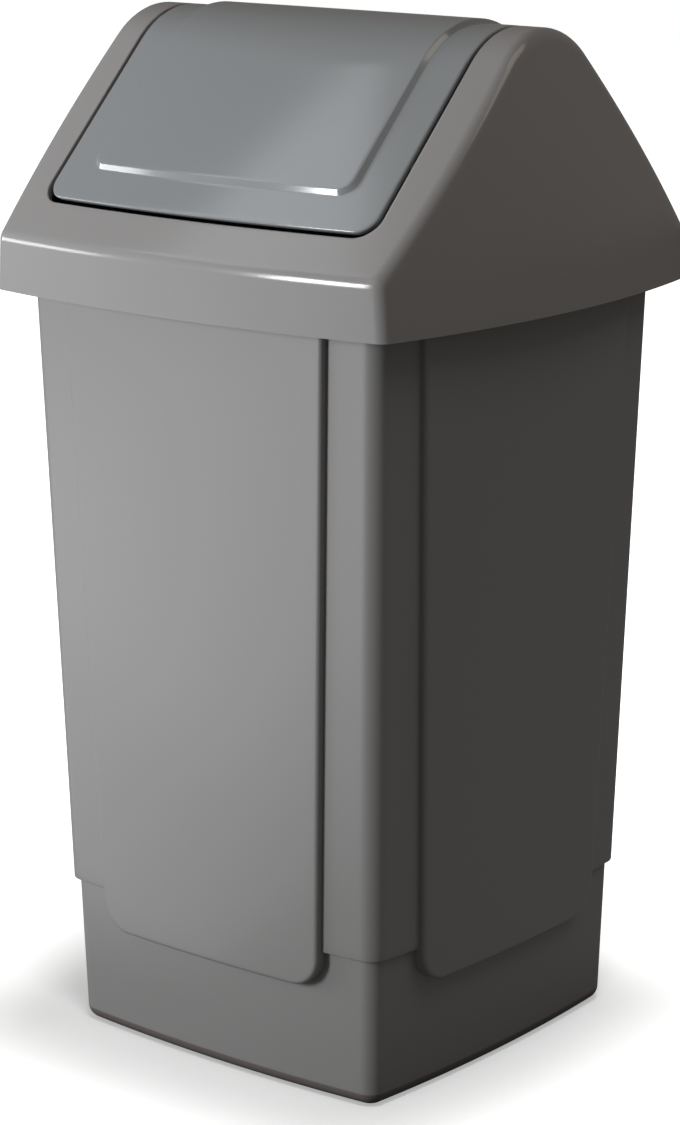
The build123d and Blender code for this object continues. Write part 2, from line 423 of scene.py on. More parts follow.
# %% One side of the tub
PANEL_EDGE_POINTS = 7
panel_core_margin = 34.0


def tub_side(inset, top):
    """Grids of the front side: the nested U, the middle of the panel, and the pillar on the right.

    inset is 0 for the outside and the wall's thickness for the inside. A point's distance from the
    middle is the bowed side's reach at its height, raised by the panel's height inside the outline.
    """
    rows = pillar_rows(inset, top)
    row_z, row_half, row_bow, _ = rows
    low_z = bottom_radius if inset == 0 else floor_thickness + bottom_radius - tub_wall
    outline_s, outline_z = panel_outline(inset, row_z)
    border_s, border_z, pillar_sizes = side_border(rows, outline_s, inset, low_z)
    bow = np.concatenate([row_bow, np.full(len(outline_s) - len(row_z), base_bow)])
    lines = []
    for share in (1.0, 0.94, 0.7, 0.4, 0.15, 0.0):
        s = outline_s + (border_s - outline_s) * share
        z = outline_z + (border_z - outline_z) * share
        half = np.concatenate([row_half, base_half(z[len(row_z):]) - inset])
        lines.append(stacked(s, -side_reach(half, bow, s), z))
    edge = panel_edge_radius if inset == 0 else panel_inner_radius
    for sunk, inward in quarter_round(edge, np.linspace(0, 90, PANEL_EDGE_POINTS)):
        s, z = panel_outline(inset + inward, row_z)
        lines.append(stacked(s, panel_face(s, z, inset) + sunk, z))
    support_s, support_z = panel_outline(inset + edge + support, row_z)
    middle = len(row_z) + PANEL_ARC_POINTS // 2
    drop, across = shares_along(support_s, support_z, middle)
    core_z = top + (panel_foot_z + panel_core_margin - top) * drop
    core_s = (panel_half(panel_foot_z) - panel_core_margin) * (1 - across)
    for share in (0.0, 0.3, 0.65, 1.0):
        s = support_s + (core_s - support_s) * share
        z = support_z + (core_z - support_z) * share
        lines.append(stacked(s, panel_face(s, z, inset), z))
    right = np.stack(lines, axis=1)
    nested = np.concatenate([mirrored(right, 0), right[-2::-1]])
    inner = right[middle:, -1, 0]
    columns = np.concatenate([-inner, inner[-2::-1]])
    x, z = np.meshgrid(columns, core_z[:middle + 1])
    core = stacked(x, panel_face(x, z, inset), z)
    z, half, bow, radius = (size[:, None] for size in pillar_sizes)
    return nested, core, stacked(*corner_points(half, half, bow, bow, radius, CORNER_SHARES), z)


# %% [markdown]
# The four sides are turned copies of one. The floor closes each skin below. At the top, a flange runs
# from the outer wall to a lip inside the hood's skirt and back to the inner wall; the hood rests on it.


# %% Rim, floor and the finished tub
BOTTOM_ROWS = 13
FLOOR_RINGS = 5


def tub_bottom(skin, nested, inset, level, radius):
    """Rounds a skin of the tub into its floor with a quarter circle, and closes the floor."""
    start = len(nested) // 2 - PANEL_FOOT_POINTS - PANEL_ARC_POINTS // 2
    foot = nested[start:len(nested) - start, 0, 0]
    shares = foot / foot[-1]
    loops = []
    for rise, tuck in quarter_round(radius, np.linspace(0, 90, BOTTOM_ROWS)):
        half = base_half(level + radius) - inset - tuck
        sizes = (half, half, base_bow, base_bow, base_corner_radius - inset - tuck)
        loops.append(bowed_loop(sizes, level + rise, shares))
    skin.grid(np.stack(loops), closed=True)
    skin.disc(loops[-1], (0, 0, level), FLOOR_RINGS)


def hood_loop(inward, z, side_shares):
    """Outline of the hood's outside, set in, at one height."""
    corner = max(hood_edge_radius - inward, least_corner_radius)
    sizes = (hood_half_x - inward, hood_half_y - inward, gable_bow, front_bow, corner)
    return bowed_loop(sizes, z, side_shares)


def rim_section():
    """Distances in from the hood's outside, and heights: under the flange, round its lip, to the top."""
    outer = rim_gap
    inner = rim_gap + rim_thickness
    foot = tub_height - rim_lip_height
    top = tub_height - rim_edge_radius
    places = [(inner, tub_height - rim_thickness), (inner, foot), (outer, foot), (outer, top)]
    rounding = quarter_round(rim_edge_radius, (30, 60, 90))
    return places + [(outer + tuck, tub_height - drop) for drop, tuck in rounding]


def make_tub():
    """The tub: outside, inside, floor and rim as one closed skin."""
    skin = Skin()
    rims = []
    for inset, top in ((0.0, tub_height - rim_thickness), (tub_wall, tub_height)):
        nested, core, pillar = tub_side(inset, top)
        for turn in range(4):
            for part in (nested, core, pillar):
                skin.grid(turned(part, turn))
        level = 0.0 if inset == 0 else floor_thickness
        tub_bottom(skin, nested, inset, level, bottom_radius - inset)
        across = np.concatenate([nested[0], core[0, 1:-1], nested[-1, ::-1]])
        side = np.concatenate([across, pillar[0, 1:-1]])
        rims.append(np.concatenate([turned(side, turn) for turn in range(4)]))
    shares = across[:, 0] / across[-1, 0]
    flange = [hood_loop(inward, z, shares) for inward, z in rim_section()]
    skin.grid(np.stack([rims[0], *flange, rims[1]]), closed=True)
    return skin.build("tub_moulding")


tub_moulding = make_tub()

# %% [markdown]
# ## The hood
# A roof with two slopes over a skirt, closed at both ends by gables. The roof is a profile across the
# ridge, carried along it: a plumb skirt, a rounded crease, a straight slope and an arc over the ridge. The
# eaves bulge, so the profile is wider in the middle than at the ends, and the arc's radius makes up for
# it. A point on the roof has two coordinates: x along the ridge, and v, the distance from the ridge down
# the slope, negative to the front. The gables are arcs in plan that lean inwards.

# %% The roof's profile
corner_angle = math.pi / 2 - slope
roof_rise = ridge_z - crease_z
knee_share = 0.75
knee_z = crease_z + knee_share * roof_rise
crease_setback = crease_radius * math.tan(corner_angle / 2)
slope_foot_z = crease_z + crease_setback * math.sin(slope)
knee_v = 50.0
foot_v = knee_v + (knee_z - slope_foot_z) / math.sin(slope)
print("roof: rise", round(roof_rise, 1), "length down to the crease", round(foot_v, 1))


def slope_v(z):
    """Distance from the ridge down the slope to a height below the knee."""
    return knee_v + (knee_z - z) / math.sin(slope)


def eaves(x):
    """How far the skirt stands out in front: a parabola along the ridge."""
    return hood_half_y - front_bow * (x / corner_x) ** 2


def roof_skin(x, v, inset=0.0):
    """Point of the roof at x and v, sunk into the wall by the inset.

    From the ridge to the knee, v is a share of the way out along an arc that meets the slope. From there
    to the foot it is a length down the slope. The crease takes the next unit of v, as a share of its turn,
    and the skirt takes the last one, as a share of its height.
    """
    x, v, inset = np.broadcast_arrays(np.asarray(x, float), np.asarray(v, float), np.asarray(inset, float))
    out = np.abs(v)
    reach = eaves(x)
    arc = (reach * math.sin(slope) - roof_rise * math.cos(slope)) / (1 - math.cos(slope))
    centre = ridge_z - arc
    arc = arc - inset
    reach = reach - inset
    foot = crease_z - inset * (1 - math.cos(slope)) / math.sin(slope)
    knee = knee_z - inset * math.cos(slope)
    knee_y = reach - (knee - foot) / math.tan(slope)
    ridge_y = knee_y * np.clip(out / knee_v, 0, 1)
    on_arc = centre + np.sqrt(np.maximum(arc**2 - ridge_y**2, 0))
    on_slope = foot + (reach - ridge_y) * math.tan(slope)
    ridge_height = np.where(ridge_y < arc * math.sin(slope), on_arc, on_slope)
    slope_z = knee - (out - knee_v) * math.sin(slope)
    slope_y = reach - (slope_z - foot) / math.tan(slope)
    rounding = crease_radius - inset
    skirt_top = foot - rounding * math.tan(corner_angle / 2)
    turn = corner_angle * (1 - np.clip(out - foot_v, 0, 1))
    crease_y = reach - rounding * (1 - np.cos(turn))
    crease_height = skirt_top + rounding * np.sin(turn)
    skirt_z = skirt_top + (hood_bottom - skirt_top) * np.clip(out - foot_v - 1, 0, 1)
    zones = [out <= knee_v, out <= foot_v, out <= foot_v + 1]
    y = np.select(zones, [ridge_y, slope_y, crease_y], reach)
    z = np.select(zones, [ridge_height, slope_z, crease_height], skirt_z)
    return stacked(x, np.where(v < 0, -y, y), z)


# %% The gables
gable_radius = arc_radius(corner_y, gable_bow)


def gable_x(y, z, inset=0.0):
    """How far the right gable stands out at a place: an arc in plan that leans in and bellies upwards."""
    share = (z - hood_bottom) / (ridge_z - hood_bottom)
    reach = gable_radius - inset - gable_lean * share + 4 * gable_crown * share * (1 - share)
    return hood_half_x - gable_radius + np.sqrt(reach**2 - y**2)


def unit(vectors):
    """The vectors, each made one long."""
    return vectors / np.linalg.norm(vectors, axis=-1, keepdims=True)


def dot(a, b):
    """Dot product of vectors, as a column that can multiply them."""
    return np.sum(a * b, axis=-1, keepdims=True)


# %% The rounded edges between roof and gables
MEETING_TRIES = 12
step = 0.01
short_step = 0.001
crease_zone = 0.5
inside_height = 0.6 * ridge_z


def gable_edge(v, inset, turns):
    """The rounded edge between roof and gable at each v, from the roof (first) to the gable (last).

    The roof and the gable meet where both give one x, found by trying again from the last x. There the
    two tangent planes are cut across the edge, and an arc that touches both is laid into the corner.
    """
    x = np.full(v.shape, corner_x)
    for _ in range(MEETING_TRIES):
        corner = roof_skin(x, v, inset)
        x = gable_x(corner[..., 1], corner[..., 2], inset)
    corner = roof_skin(x, v, inset)
    along = unit(roof_skin(x + step, v, inset) - roof_skin(x - step, v, inset))
    nudge = np.where(np.abs(v) > foot_v - crease_zone, short_step, step)
    down = unit(roof_skin(x, v + nudge, inset) - roof_skin(x, v - nudge, inset))
    outward = unit(np.cross(along, down))
    y, z = corner[..., 1], corner[..., 2]
    slant_y = (gable_x(y + step, z, inset) - gable_x(y - step, z, inset)) / (2 * step)
    slant_z = (gable_x(y, z + step, inset) - gable_x(y, z - step, inset)) / (2 * step)
    gable_out = unit(stacked(1.0, -slant_y, -slant_z))
    outward = outward * np.sign(dot(outward, corner - np.array([0, 0, inside_height])))
    back = -along
    fall = unit(-outward + along * dot(outward, gable_out) / dot(along, gable_out))
    opening = np.arccos(np.clip(dot(back, fall), -1, 1))
    radius = hood_edge_radius - inset
    setback = radius / np.tan(opening / 2)
    centre = corner + back * setback - outward * radius
    side_out = (corner + fall * setback - centre) / radius
    turn = math.pi - opening
    shares = turns[:, None, None]
    normal = (outward * np.sin((1 - shares) * turn) + side_out * np.sin(shares * turn)) / np.sin(turn)
    arc = centre + normal * radius
    roof_end = roof_skin(arc[0, ..., 0], v, inset) - arc[0]
    end_y, end_z = arc[-1, ..., 1], arc[-1, ..., 2]
    gable_end = stacked(gable_x(end_y, end_z, inset), end_y, end_z) - arc[-1]
    return arc + roof_end * (1 - shares) + gable_end * shares


# %% [markdown]
# The mouth is a hole through both slopes and the ridge. Its outline is a rounded rectangle in x and v, so
# the skin round it is again laid out in nested lines, from the mouth out to the gables and the crease. One
# quarter is worked out, and the other three are its mirror images.


# %% Rounded rectangles on the roof
SIDE_POINTS = 44
ROUND_POINTS = 11
FRONT_POINTS = 22


def outline_quarter(half_x, half_v, radius):
    """Quarter of a rounded rectangle in x and v, from the right side's middle to the front's middle."""
    angle = np.linspace(0, math.pi / 2, ROUND_POINTS)
    side = (half_v - radius) * np.linspace(0, 1, SIDE_POINTS)[:-1]
    front = (half_x - radius) * np.linspace(1, 0, FRONT_POINTS)[1:]
    x = np.concatenate([np.full(side.shape, half_x), half_x - radius + radius * np.cos(angle), front])
    v = np.concatenate([side, half_v - radius + radius * np.sin(angle), np.full(front.shape, half_v)])
    return x, -v


def all_round(quarter):
    """Rows of a quarter, mirrored to rows that run all the way round, without the repeated ends."""
    front = np.concatenate([quarter, mirrored(quarter, 0)[..., -2::-1, :]], axis=-2)
    return np.concatenate([front, mirrored(front, 1)[..., -2:0:-1, :]], axis=-2)


def opening_half_v(extra):
    """Half length of the mouth down the slope, made longer by an extra."""
    return slope_v(mouth_edge_z) + extra


# %% One skin of the hood
EDGE_TURNS = 11
CREASE_ROWS = 9
SIDE_COLUMNS = 25
beside_mouth = SIDE_POINTS - 1
corner_shares = np.linspace(0, 1, ROUND_POINTS)


def edge_rows(start_v):
    """Values of v down the gable's edge from the mouth's corner: foot, crease and skirt."""
    border = start_v + (foot_v - start_v) * np.clip(2 * corner_shares, 0, 1)
    crease = foot_v + np.linspace(0, 1, CREASE_ROWS)[1:]
    skirt = foot_v + 1 + np.array([0.04, 0.3, 0.7, 0.97, 1.0])
    return np.concatenate([border[:ROUND_POINTS // 2 + 1], crease, skirt])


def gable_face(ends, inset):
    """The gable between two rounded edges whose ends are given, as level rows."""
    y = -ends[:, 1:2] * np.linspace(-1, 1, SIDE_COLUMNS)
    z = np.broadcast_to(ends[:, 2:3], y.shape)
    return stacked(gable_x(y, z, inset), y, z)


def hood_skin(skin, inset, widen):
    """Adds the outer skin, or the inner one, from the mouth's outline, widened, to the skirt's foot.

    Returns the foot's outline, all the way round.
    """
    x, v = outline_quarter(mouth_half + widen, opening_half_v(widen), mouth_corner_radius + widen)
    edge_v = np.concatenate([v[:beside_mouth], -edge_rows(-v[beside_mouth])])
    edge = gable_edge(edge_v, inset, np.linspace(0, 1, EDGE_TURNS))
    edge_x = edge[0, :, 0]
    last = beside_mouth + ROUND_POINTS // 2
    corner_x_end = x[beside_mouth + ROUND_POINTS - 1]
    along = np.clip(2 * corner_shares[ROUND_POINTS // 2:] - 1, 0, 1)
    border_x = edge_x[last] + (corner_x_end - edge_x[last]) * along
    outer_x = np.concatenate([edge_x[:last], border_x, x[beside_mouth + ROUND_POINTS:]])
    outer_v = np.concatenate([edge_v[:last], np.full(len(outer_x) - last, -foot_v)])
    spread = np.array([0.0, 0.05, 0.2, 0.45, 0.75, 0.93, 1.0])[:, None]
    ring = roof_skin(x + (outer_x - x) * spread, v + (outer_v - v) * spread, inset)
    skin.grid(all_round(ring), closed=True)
    shares = outer_x[last:] / outer_x[last]
    apron = roof_skin(shares * edge_x[last:, None], edge_v[last:, None], inset)
    whole = np.concatenate([apron, mirrored(apron, 0)[:, -2::-1]], axis=1)
    gable = gable_face(edge[-1], inset)
    edges = (edge, mirrored(edge, 0), mirrored(edge, 1), -edge * (1, 1, -1))
    for part in (whole, mirrored(whole, 1), *edges, gable, mirrored(gable, 0)):
        skin.grid(part)
    gable_foot = gable[-1, SIDE_COLUMNS // 2:-1] * (1, -1, 1)
    return all_round(np.concatenate([gable_foot, edge[::-1, -1], apron[-1, 1:]]))


# %% Ears that carry the pivots
EAR_POINTS = 96
least_spread = 1e-3


def ear_plate(skin, start, thickness, inset, bore):
    """A plate under the ridge with a round end about the pivot, bored for the pin.

    Its outline is a distance from the pivot in each direction: a circle below, straight sides that
    spread to the root above, and the underside of the roof on top.
    """
    angle = np.linspace(0, 2 * math.pi, EAR_POINTS + 1)[:-1]
    across, up = np.sin(angle), np.cos(angle)
    root_rise = (ridge_z - pivot_z) / 2
    lean = (ear_half_root - ear_radius) / root_rise
    spread = np.abs(across) - up * lean
    flank = ear_radius / np.maximum(spread, least_spread)
    root = ear_half_root / np.maximum(np.abs(across), least_spread)
    arc = (eaves(start) * math.sin(slope) - roof_rise * math.cos(slope)) / (1 - math.cos(slope))
    drop = pivot_z - (ridge_z - arc)
    roof = -drop * up + np.sqrt((drop * up) ** 2 - drop**2 + (arc - inset) ** 2)
    flank = np.where(spread > 0, flank, root)
    reach = np.where(up > 0, np.minimum(np.minimum(flank, root), roof), ear_radius)
    end = start + thickness
    section = ((start, bore), (start, reach), (end, reach), (end, bore), (start, bore))
    loops = [stacked(x, across * distance, pivot_z + up * distance) for x, distance in section]
    skin.grid(np.stack(loops), closed=True)


# %% The finished hood
LIP_EDGE_ANGLES = np.linspace(0, 90, 6)


def mouth_lip():
    """The mouth's rounded edge and the lip turned in from it, as outlines nested from outside in."""
    lip = quarter_round(mouth_edge_radius, LIP_EDGE_ANGLES)
    lip += [(0.0, mouth_lip_depth), (hood_wall, mouth_lip_depth), (hood_wall, hood_wall)]
    rows = []
    for widen, sunk in lip:
        x, v = outline_quarter(mouth_half + widen, opening_half_v(widen), mouth_corner_radius + widen)
        rows.append(roof_skin(x, v, sunk))
    return all_round(np.stack(rows))


def seat_ledge():
    """The ledge inside the skirt that rests on the tub's rim: a flat ring of rectangular section."""
    shares = np.linspace(-1, 1, SIDE_COLUMNS)
    inner = hood_wall + seat_width
    outer = hood_wall / 2
    section = ((outer, 0), (inner, 0), (inner, seat_thickness), (outer, seat_thickness), (outer, 0))
    return np.stack([hood_loop(inward, tub_height + rise, shares) for inward, rise in section])


def make_hood():
    """The hood: both skins, the skirt's foot between them, the mouth's lip, the seat and the ears."""
    skin = Skin()
    outer_foot = hood_skin(skin, 0.0, mouth_edge_radius)
    inner_foot = hood_skin(skin, hood_wall, hood_wall)
    for ring in (np.stack([outer_foot, inner_foot]), mouth_lip(), seat_ledge()):
        skin.grid(ring, closed=True)
    for start in (mouth_half, -mouth_half - ear_thickness):
        ear_plate(skin, start, ear_thickness, hood_wall / 2, bore_radius)
    return skin.build("hood_moulding")


hood_moulding = make_hood()

# %% [markdown]
# ## The swing flap
# A saddle over the ridge: a border level with the hood, and inside it a panel raised by a wall that slants
# at 45 degrees, with a rounded top edge and a small fillet at its foot. It is a stack of nested outlines
# in x and v, each with its own depth, from the middle of the panel out over the edge, down the lip and
# back in underneath. The middle, above and below, is a plain grid.

# %% Sections of the flap
flap_half_v = slope_v(mouth_edge_z) - flap_end_gap
raised_half = flap_half - raised_side_inset
raised_half_v = flap_half_v - raised_end_inset
flap_core_margin = 22.0
WALL_FILLET_POINTS = 4
print("flap: half length down the slope", round(flap_half_v, 1))


def flap_outline(inward):
    """Quarter of the flap's outline, set in."""
    return outline_quarter(flap_half - inward, flap_half_v - inward, flap_corner_radius - inward)


def raised_outline(inward):
    """Quarter of the raised panel's outline at its foot, set in."""
    return outline_quarter(raised_half - inward, raised_half_v - inward, raised_corner_radius - inward)


def raised_wall(proud):
    """Inward distances and depths down the slanted wall, from the raised panel to the border round it.

    A convex fillet at the top turns through 45 degrees, and a concave one at the foot turns back.
    """
    eighth = math.tan(math.radians(22.5))
    foot, top = raised_foot_radius, raised_edge_radius
    angle = np.radians(np.linspace(0, 45, WALL_FILLET_POINTS))
    foot_in = -foot * eighth + foot * np.sin(angle)
    foot_up = foot * (1 - np.cos(angle))
    top_in = proud + top * eighth - top * np.sin(angle[::-1])
    top_up = proud - top * (1 - np.cos(angle[::-1]))
    inward = np.concatenate([foot_in, top_in])
    return list(zip(inward, -np.concatenate([foot_up, top_up])))[::-1]


def core_grid(skin, outline, depth):
    """Fills the space inside a nested outline: lines from it to a rectangle, and a grid in that."""
    x, v = outline
    middle = beside_mouth + ROUND_POINTS // 2
    down, across = shares_along(x, v, middle)
    core_x = (x[0] - flap_core_margin) * (1 - across)
    core_v = -(-v[-1] - flap_core_margin) * down
    share = np.array([0.0, 0.08, 0.35, 0.7, 1.0])[:, None]
    ring = roof_skin(x + (core_x - x) * share, v + (core_v - v) * share, depth)
    skin.grid(all_round(ring), closed=True)
    columns = np.concatenate([-core_x[middle:], core_x[middle:][-2::-1]])
    rows = np.concatenate([core_v[:middle + 1][::-1], -core_v[1:middle + 1]])
    skin.grid(roof_skin(columns[None], rows[:, None], depth))


def between(first, second, shares):
    """Outlines at shares of the way from one to another."""
    (x, v), (end_x, end_v) = first, second
    return [(x + (end_x - x) * share, v + (end_v - v) * share) for share in shares]


# %% The finished flap
def make_flap():
    """The flap as one closed skin, with the cheeks that hold the pins."""
    skin = Skin()
    edge = flap_edge_radius
    lip = ((flap_lip_tuck, flap_lip_depth), (flap_wall, flap_lip_depth), (flap_wall, flap_wall))
    hollow = raised_outline(raised_proud), flap_wall - raised_proud
    rings = [(raised_outline(inward), sunk) for inward, sunk in raised_wall(raised_proud)]
    border = between(rings[-1][0], flap_outline(edge), (0.08, 0.3, 0.7, 0.95))
    rings += [(outline, 0.0) for outline in border]
    rounding = quarter_round(edge, LIP_EDGE_ANGLES)
    rings += [(flap_outline(inward), sunk) for inward, sunk in (*rounding, *lip)]
    under = between(rings[-1][0], hollow[0], (0.5, 1.0))
    rings += [(outline, flap_wall) for outline in under]
    rings.append(hollow)
    core_grid(skin, *rings[0])
    rows = [roof_skin(x, v, sunk) for (x, v), sunk in rings]
    skin.grid(all_round(np.stack(rows)), closed=True)
    core_grid(skin, *hollow)
    for start in (flap_half - cheek_thickness, -flap_half):
        ear_plate(skin, start, cheek_thickness, flap_wall / 2, pin_radius)
    return skin.build("swing_flap_moulding")


swing_flap_moulding = make_flap()

# %% [markdown]
# ## What stands for what
# Each moulding stands for the CAD node whose shape it has, and rides on that node's body, so that it moves
# with the joints. The two pins are plain turned parts, so their CAD nodes stay and only get a finish.

# %% Bodies, nodes and slots
for piece, body, node, slot in (
    (tub_moulding, "tub", "tub", "tub_plastic"),
    (hood_moulding, "hood", "hood", "hood_plastic"),
    (swing_flap_moulding, "flap", "swing_flap", "flap_plastic"),
):
    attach(piece, body)
    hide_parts(node)
    print(piece.name, "stands for", node, "and rides on", body)

# %% [markdown]
# ## Plastics
# A shader is a sum: a pattern, times a strength, plus a base value. The small class below lets such sums
# be written as plain arithmetic, and its node method makes any other node. What is the same all over a
# piece is set on the shader itself.


# %% Shader arithmetic
MIX_FIRST_COLOUR, MIX_SECOND_COLOUR, MIX_RESULT_COLOUR = 6, 7, 2


class Signal:
    """A value that flows through a material. Arithmetic on it adds Math nodes."""

    def __init__(self, plastic, socket):
        self.plastic = plastic
        self.socket = socket

    def calculated(self, operation, *values):
        """The result of a Math node."""
        return self.plastic.node("ShaderNodeMath", {"operation": operation}, *values)["Value"]

    def __add__(self, other):
        return self.calculated("ADD", self, other)

    def __mul__(self, other):
        return self.calculated("MULTIPLY", self, other)

    def __sub__(self, other):
        return self.calculated("SUBTRACT", self, other)

    def __rsub__(self, other):
        return self.calculated("SUBTRACT", other, self)

    __radd__ = __add__
    __rmul__ = __mul__


class Outputs:
    """The outputs of a node, by name."""

    def __init__(self, plastic, node):
        self.plastic = plastic
        self.made = node

    def __getitem__(self, name):
        return Signal(self.plastic, self.made.outputs[name])


class Plastic:
    """A material with one shader, and a method that adds nodes to it."""

    def __init__(self, name):
        self.material = bpy.data.materials.new(name)
        self.material.use_nodes = True
        self.tree = self.material.node_tree
        self.shader = self.tree.nodes["Principled BSDF"]
        place = self.tree.nodes.new("ShaderNodeTexCoord")
        self.place = Signal(self, place.outputs["Object"])

    def node(self, kind, settings, *values, **named):
        """Adds a node: its settings first, then values or signals for its inputs, in order or by name."""
        made = self.tree.nodes.new(kind)
        for key, value in settings.items():
            setattr(made, key, value)
        for key, value in [*enumerate(values), *named.items()]:
            self.feed(made.inputs[key], value)
        return Outputs(self, made)

    def feed(self, socket, value):
        """Links a signal to a socket, or sets a plain value on it."""
        if isinstance(value, Signal):
            self.tree.links.new(value.socket, socket)
        else:
            socket.default_value = value

    def set(self, **values):
        """Feeds the shader's sockets; an underscore stands for a space."""
        for key, value in values.items():
            self.feed(self.shader.inputs[key.replace("_", " ")], value)

    def noise(self, scale, detail, stretch=(1, 1, 1)):
        """A pattern around zero, from -0.5 to 0.5, on the piece's own coordinates."""
        place = self.node("ShaderNodeMapping", {}, Vector=self.place, Scale=stretch)["Vector"]
        made = self.node("ShaderNodeTexNoise", {}, Vector=place, Scale=scale, Detail=detail)
        return made["Fac"] - 0.5

    def tinted(self, colour, other, amount):
        """A colour that moves towards another by an amount."""
        mix = self.node("ShaderNodeMix", {"data_type": "RGBA"}, amount).made
        for place, value in ((MIX_FIRST_COLOUR, colour), (MIX_SECOND_COLOUR, other)):
            self.feed(mix.inputs[place], value if isinstance(value, Signal) else (*value, 1))
        return Signal(self, mix.outputs[MIX_RESULT_COLOUR])


# %% [markdown]
# The bin is polypropylene from a polished mould. Under soft light it looks even, but a closer look shows
# a faint ripple from the mould's polish, and a slight drift and mottle of tone and gloss where the plastic
# flowed. The flap is moulded in a cooler and glossier grey than the hood. The tub's rounded lower edge
# faces down into shade and looks darker and browner than its sides, so a second colour is painted there as
# shade.


# %% Moulded plastics
def moulded(name, colour, shade, roughness, refraction, ripple, flow, foot=None):
    """Polypropylene: a base colour that drifts a little towards a shade, uneven gloss and a faint ripple.

    A foot colour, if there is one, is painted shade: it takes over below the foot height.
    """
    plastic = Plastic(name)
    drift = plastic.noise(scale=5.0, detail=3.0, stretch=flow)
    mottle = plastic.noise(scale=60.0, detail=4.0)
    base = plastic.tinted(colour, shade, drift * 0.9 + mottle * 0.25 + 0.5)
    # The foot colour is painted shade, darker below the foot height.
    if foot:
        height = plastic.node("ShaderNodeSeparateXYZ", {}, plastic.place)["Z"]
        low = plastic.node("ShaderNodeMapRange", {"interpolation_type": "SMOOTHSTEP"},
                           height, foot_shade_height - foot_shade_blend, foot_shade_height, 1.0, 0.0)["Result"]
        base = plastic.tinted(base, foot, low)
    plastic.set(Base_Color=base)
    plastic.set(Roughness=roughness + drift * 0.05 + mottle * 0.015)
    grain = plastic.noise(scale=1400.0, detail=2.0)
    wave = plastic.noise(scale=28.0, detail=1.0)
    height = grain * grain_depth * ripple + wave * wave_depth * ripple
    bump = plastic.node("ShaderNodeBump", {}, Strength=0.35, Distance=1.0, Height=height)["Normal"]
    plastic.set(Normal=bump, IOR=refraction)
    return plastic.material


# Heights and depths in metres.
# Height and blend of the painted shade at the tub's foot.
foot_shade_height = 0.0095
foot_shade_blend = 0.001
grain_depth = 0.00002
wave_depth = 0.0002
# The tub's foot colour is painted shade on its rounded lower edge.
tub_plastic = moulded(
    "tub_plastic", colour=(0.235, 0.234, 0.234), shade=(0.225, 0.223, 0.222), roughness=0.29,
    refraction=1.50, ripple=0.25, flow=(1, 1, 0.5), foot=(0.140, 0.125, 0.120))
hood_plastic = moulded(
    "hood_plastic", colour=(0.290, 0.288, 0.290), shade=(0.278, 0.275, 0.276), roughness=0.15,
    refraction=1.46, ripple=0.2, flow=(0.6, 1, 1))
flap_plastic = moulded(
    "flap_plastic", colour=(0.258, 0.276, 0.290), shade=(0.249, 0.265, 0.277), roughness=0.13,
    refraction=1.60, ripple=0.15, flow=(0.6, 1, 1))
pin_plastic = moulded(
    "pin_plastic", colour=(0.10, 0.10, 0.10), shade=(0.08, 0.08, 0.08), roughness=0.35,
    refraction=1.50, ripple=0.3, flow=(1, 1, 1))
for piece, material in (
    (tub_moulding, tub_plastic),
    (hood_moulding, hood_plastic),
    (swing_flap_moulding, flap_plastic),
    (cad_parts["pivot_pin_left"], pin_plastic),
    (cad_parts["pivot_pin_right"], pin_plastic),
):
    piece.data.materials.clear()
    piece.data.materials.append(material)
    print(piece.name, "is made of", material.name)

# %% [markdown]
# ## Camera
# The view was worked out from the photograph's own lines. The camera stands to the right of the front, a
# little above the bin, and the lens is long.

# %% Camera
view_azimuth = math.radians(39.37)
view_elevation = math.radians(14.11)
view_roll = math.radians(-0.08)
view_distance = 2.2111
aim_height = 0.34
aim_across = -0.00294
aim_up = -0.02587
lens_length = 107.32
sensor_width = 36.0

forward = Vector((
    -math.sin(view_azimuth) * math.cos(view_elevation),
    math.cos(view_azimuth) * math.cos(view_elevation),
    -math.sin(view_elevation),
))
across = Vector((math.cos(view_azimuth), math.sin(view_azimuth), 0))
upward = across.cross(forward)
aim = Vector((0, 0, aim_height)) + across * aim_across + upward * aim_up
rolled_across = across * math.cos(view_roll) + upward * math.sin(view_roll)
rolled_up = upward * math.cos(view_roll) - across * math.sin(view_roll)
camera_data = bpy.data.cameras.new("camera")
camera_data.lens = lens_length
camera_data.sensor_width = sensor_width
camera = shown("camera", camera_data)
axes = Matrix((rolled_across, rolled_up, -forward)).transposed()
camera.matrix_world = Matrix.Translation(aim - forward * view_distance) @ axes.to_4x4()
bpy.context.scene.camera = camera
print("camera at", tuple(round(value, 3) for value in camera.location))

# %% [markdown]
# ## Studio
# A tall softbox to the left of the front draws the bright streaks along the hood's crease and the wall of
# the flap's panel. A wide one further left and two large flat cards near the floor light the front from
# the side and from below, and the cards show in its gloss. A weak softbox above gives the flap its sheen,
# and one to the right lifts the gable a little. The floor has two lamps of its own, one above and one
# ahead: light linking keeps the others off it, so that the shadow is a soft one round the base.


# %% Lamps
def soft_lamp(name, place, target, width, height, watts, colour):
    """A rectangular lamp at a place, turned to face a target, in metres."""
    data = bpy.data.lights.new(name, "AREA")
    data.shape = "RECTANGLE"
    data.size = width
    data.size_y = height
    data.energy = watts
    data.color = colour
    lamp = shown(name, data)
    lamp.location = place
    lamp.visible_camera = False
    lamp.rotation_mode = "QUATERNION"
    lamp.rotation_quaternion = (Vector(target) - Vector(place)).to_track_quat("-Z", "Y")
    return lamp


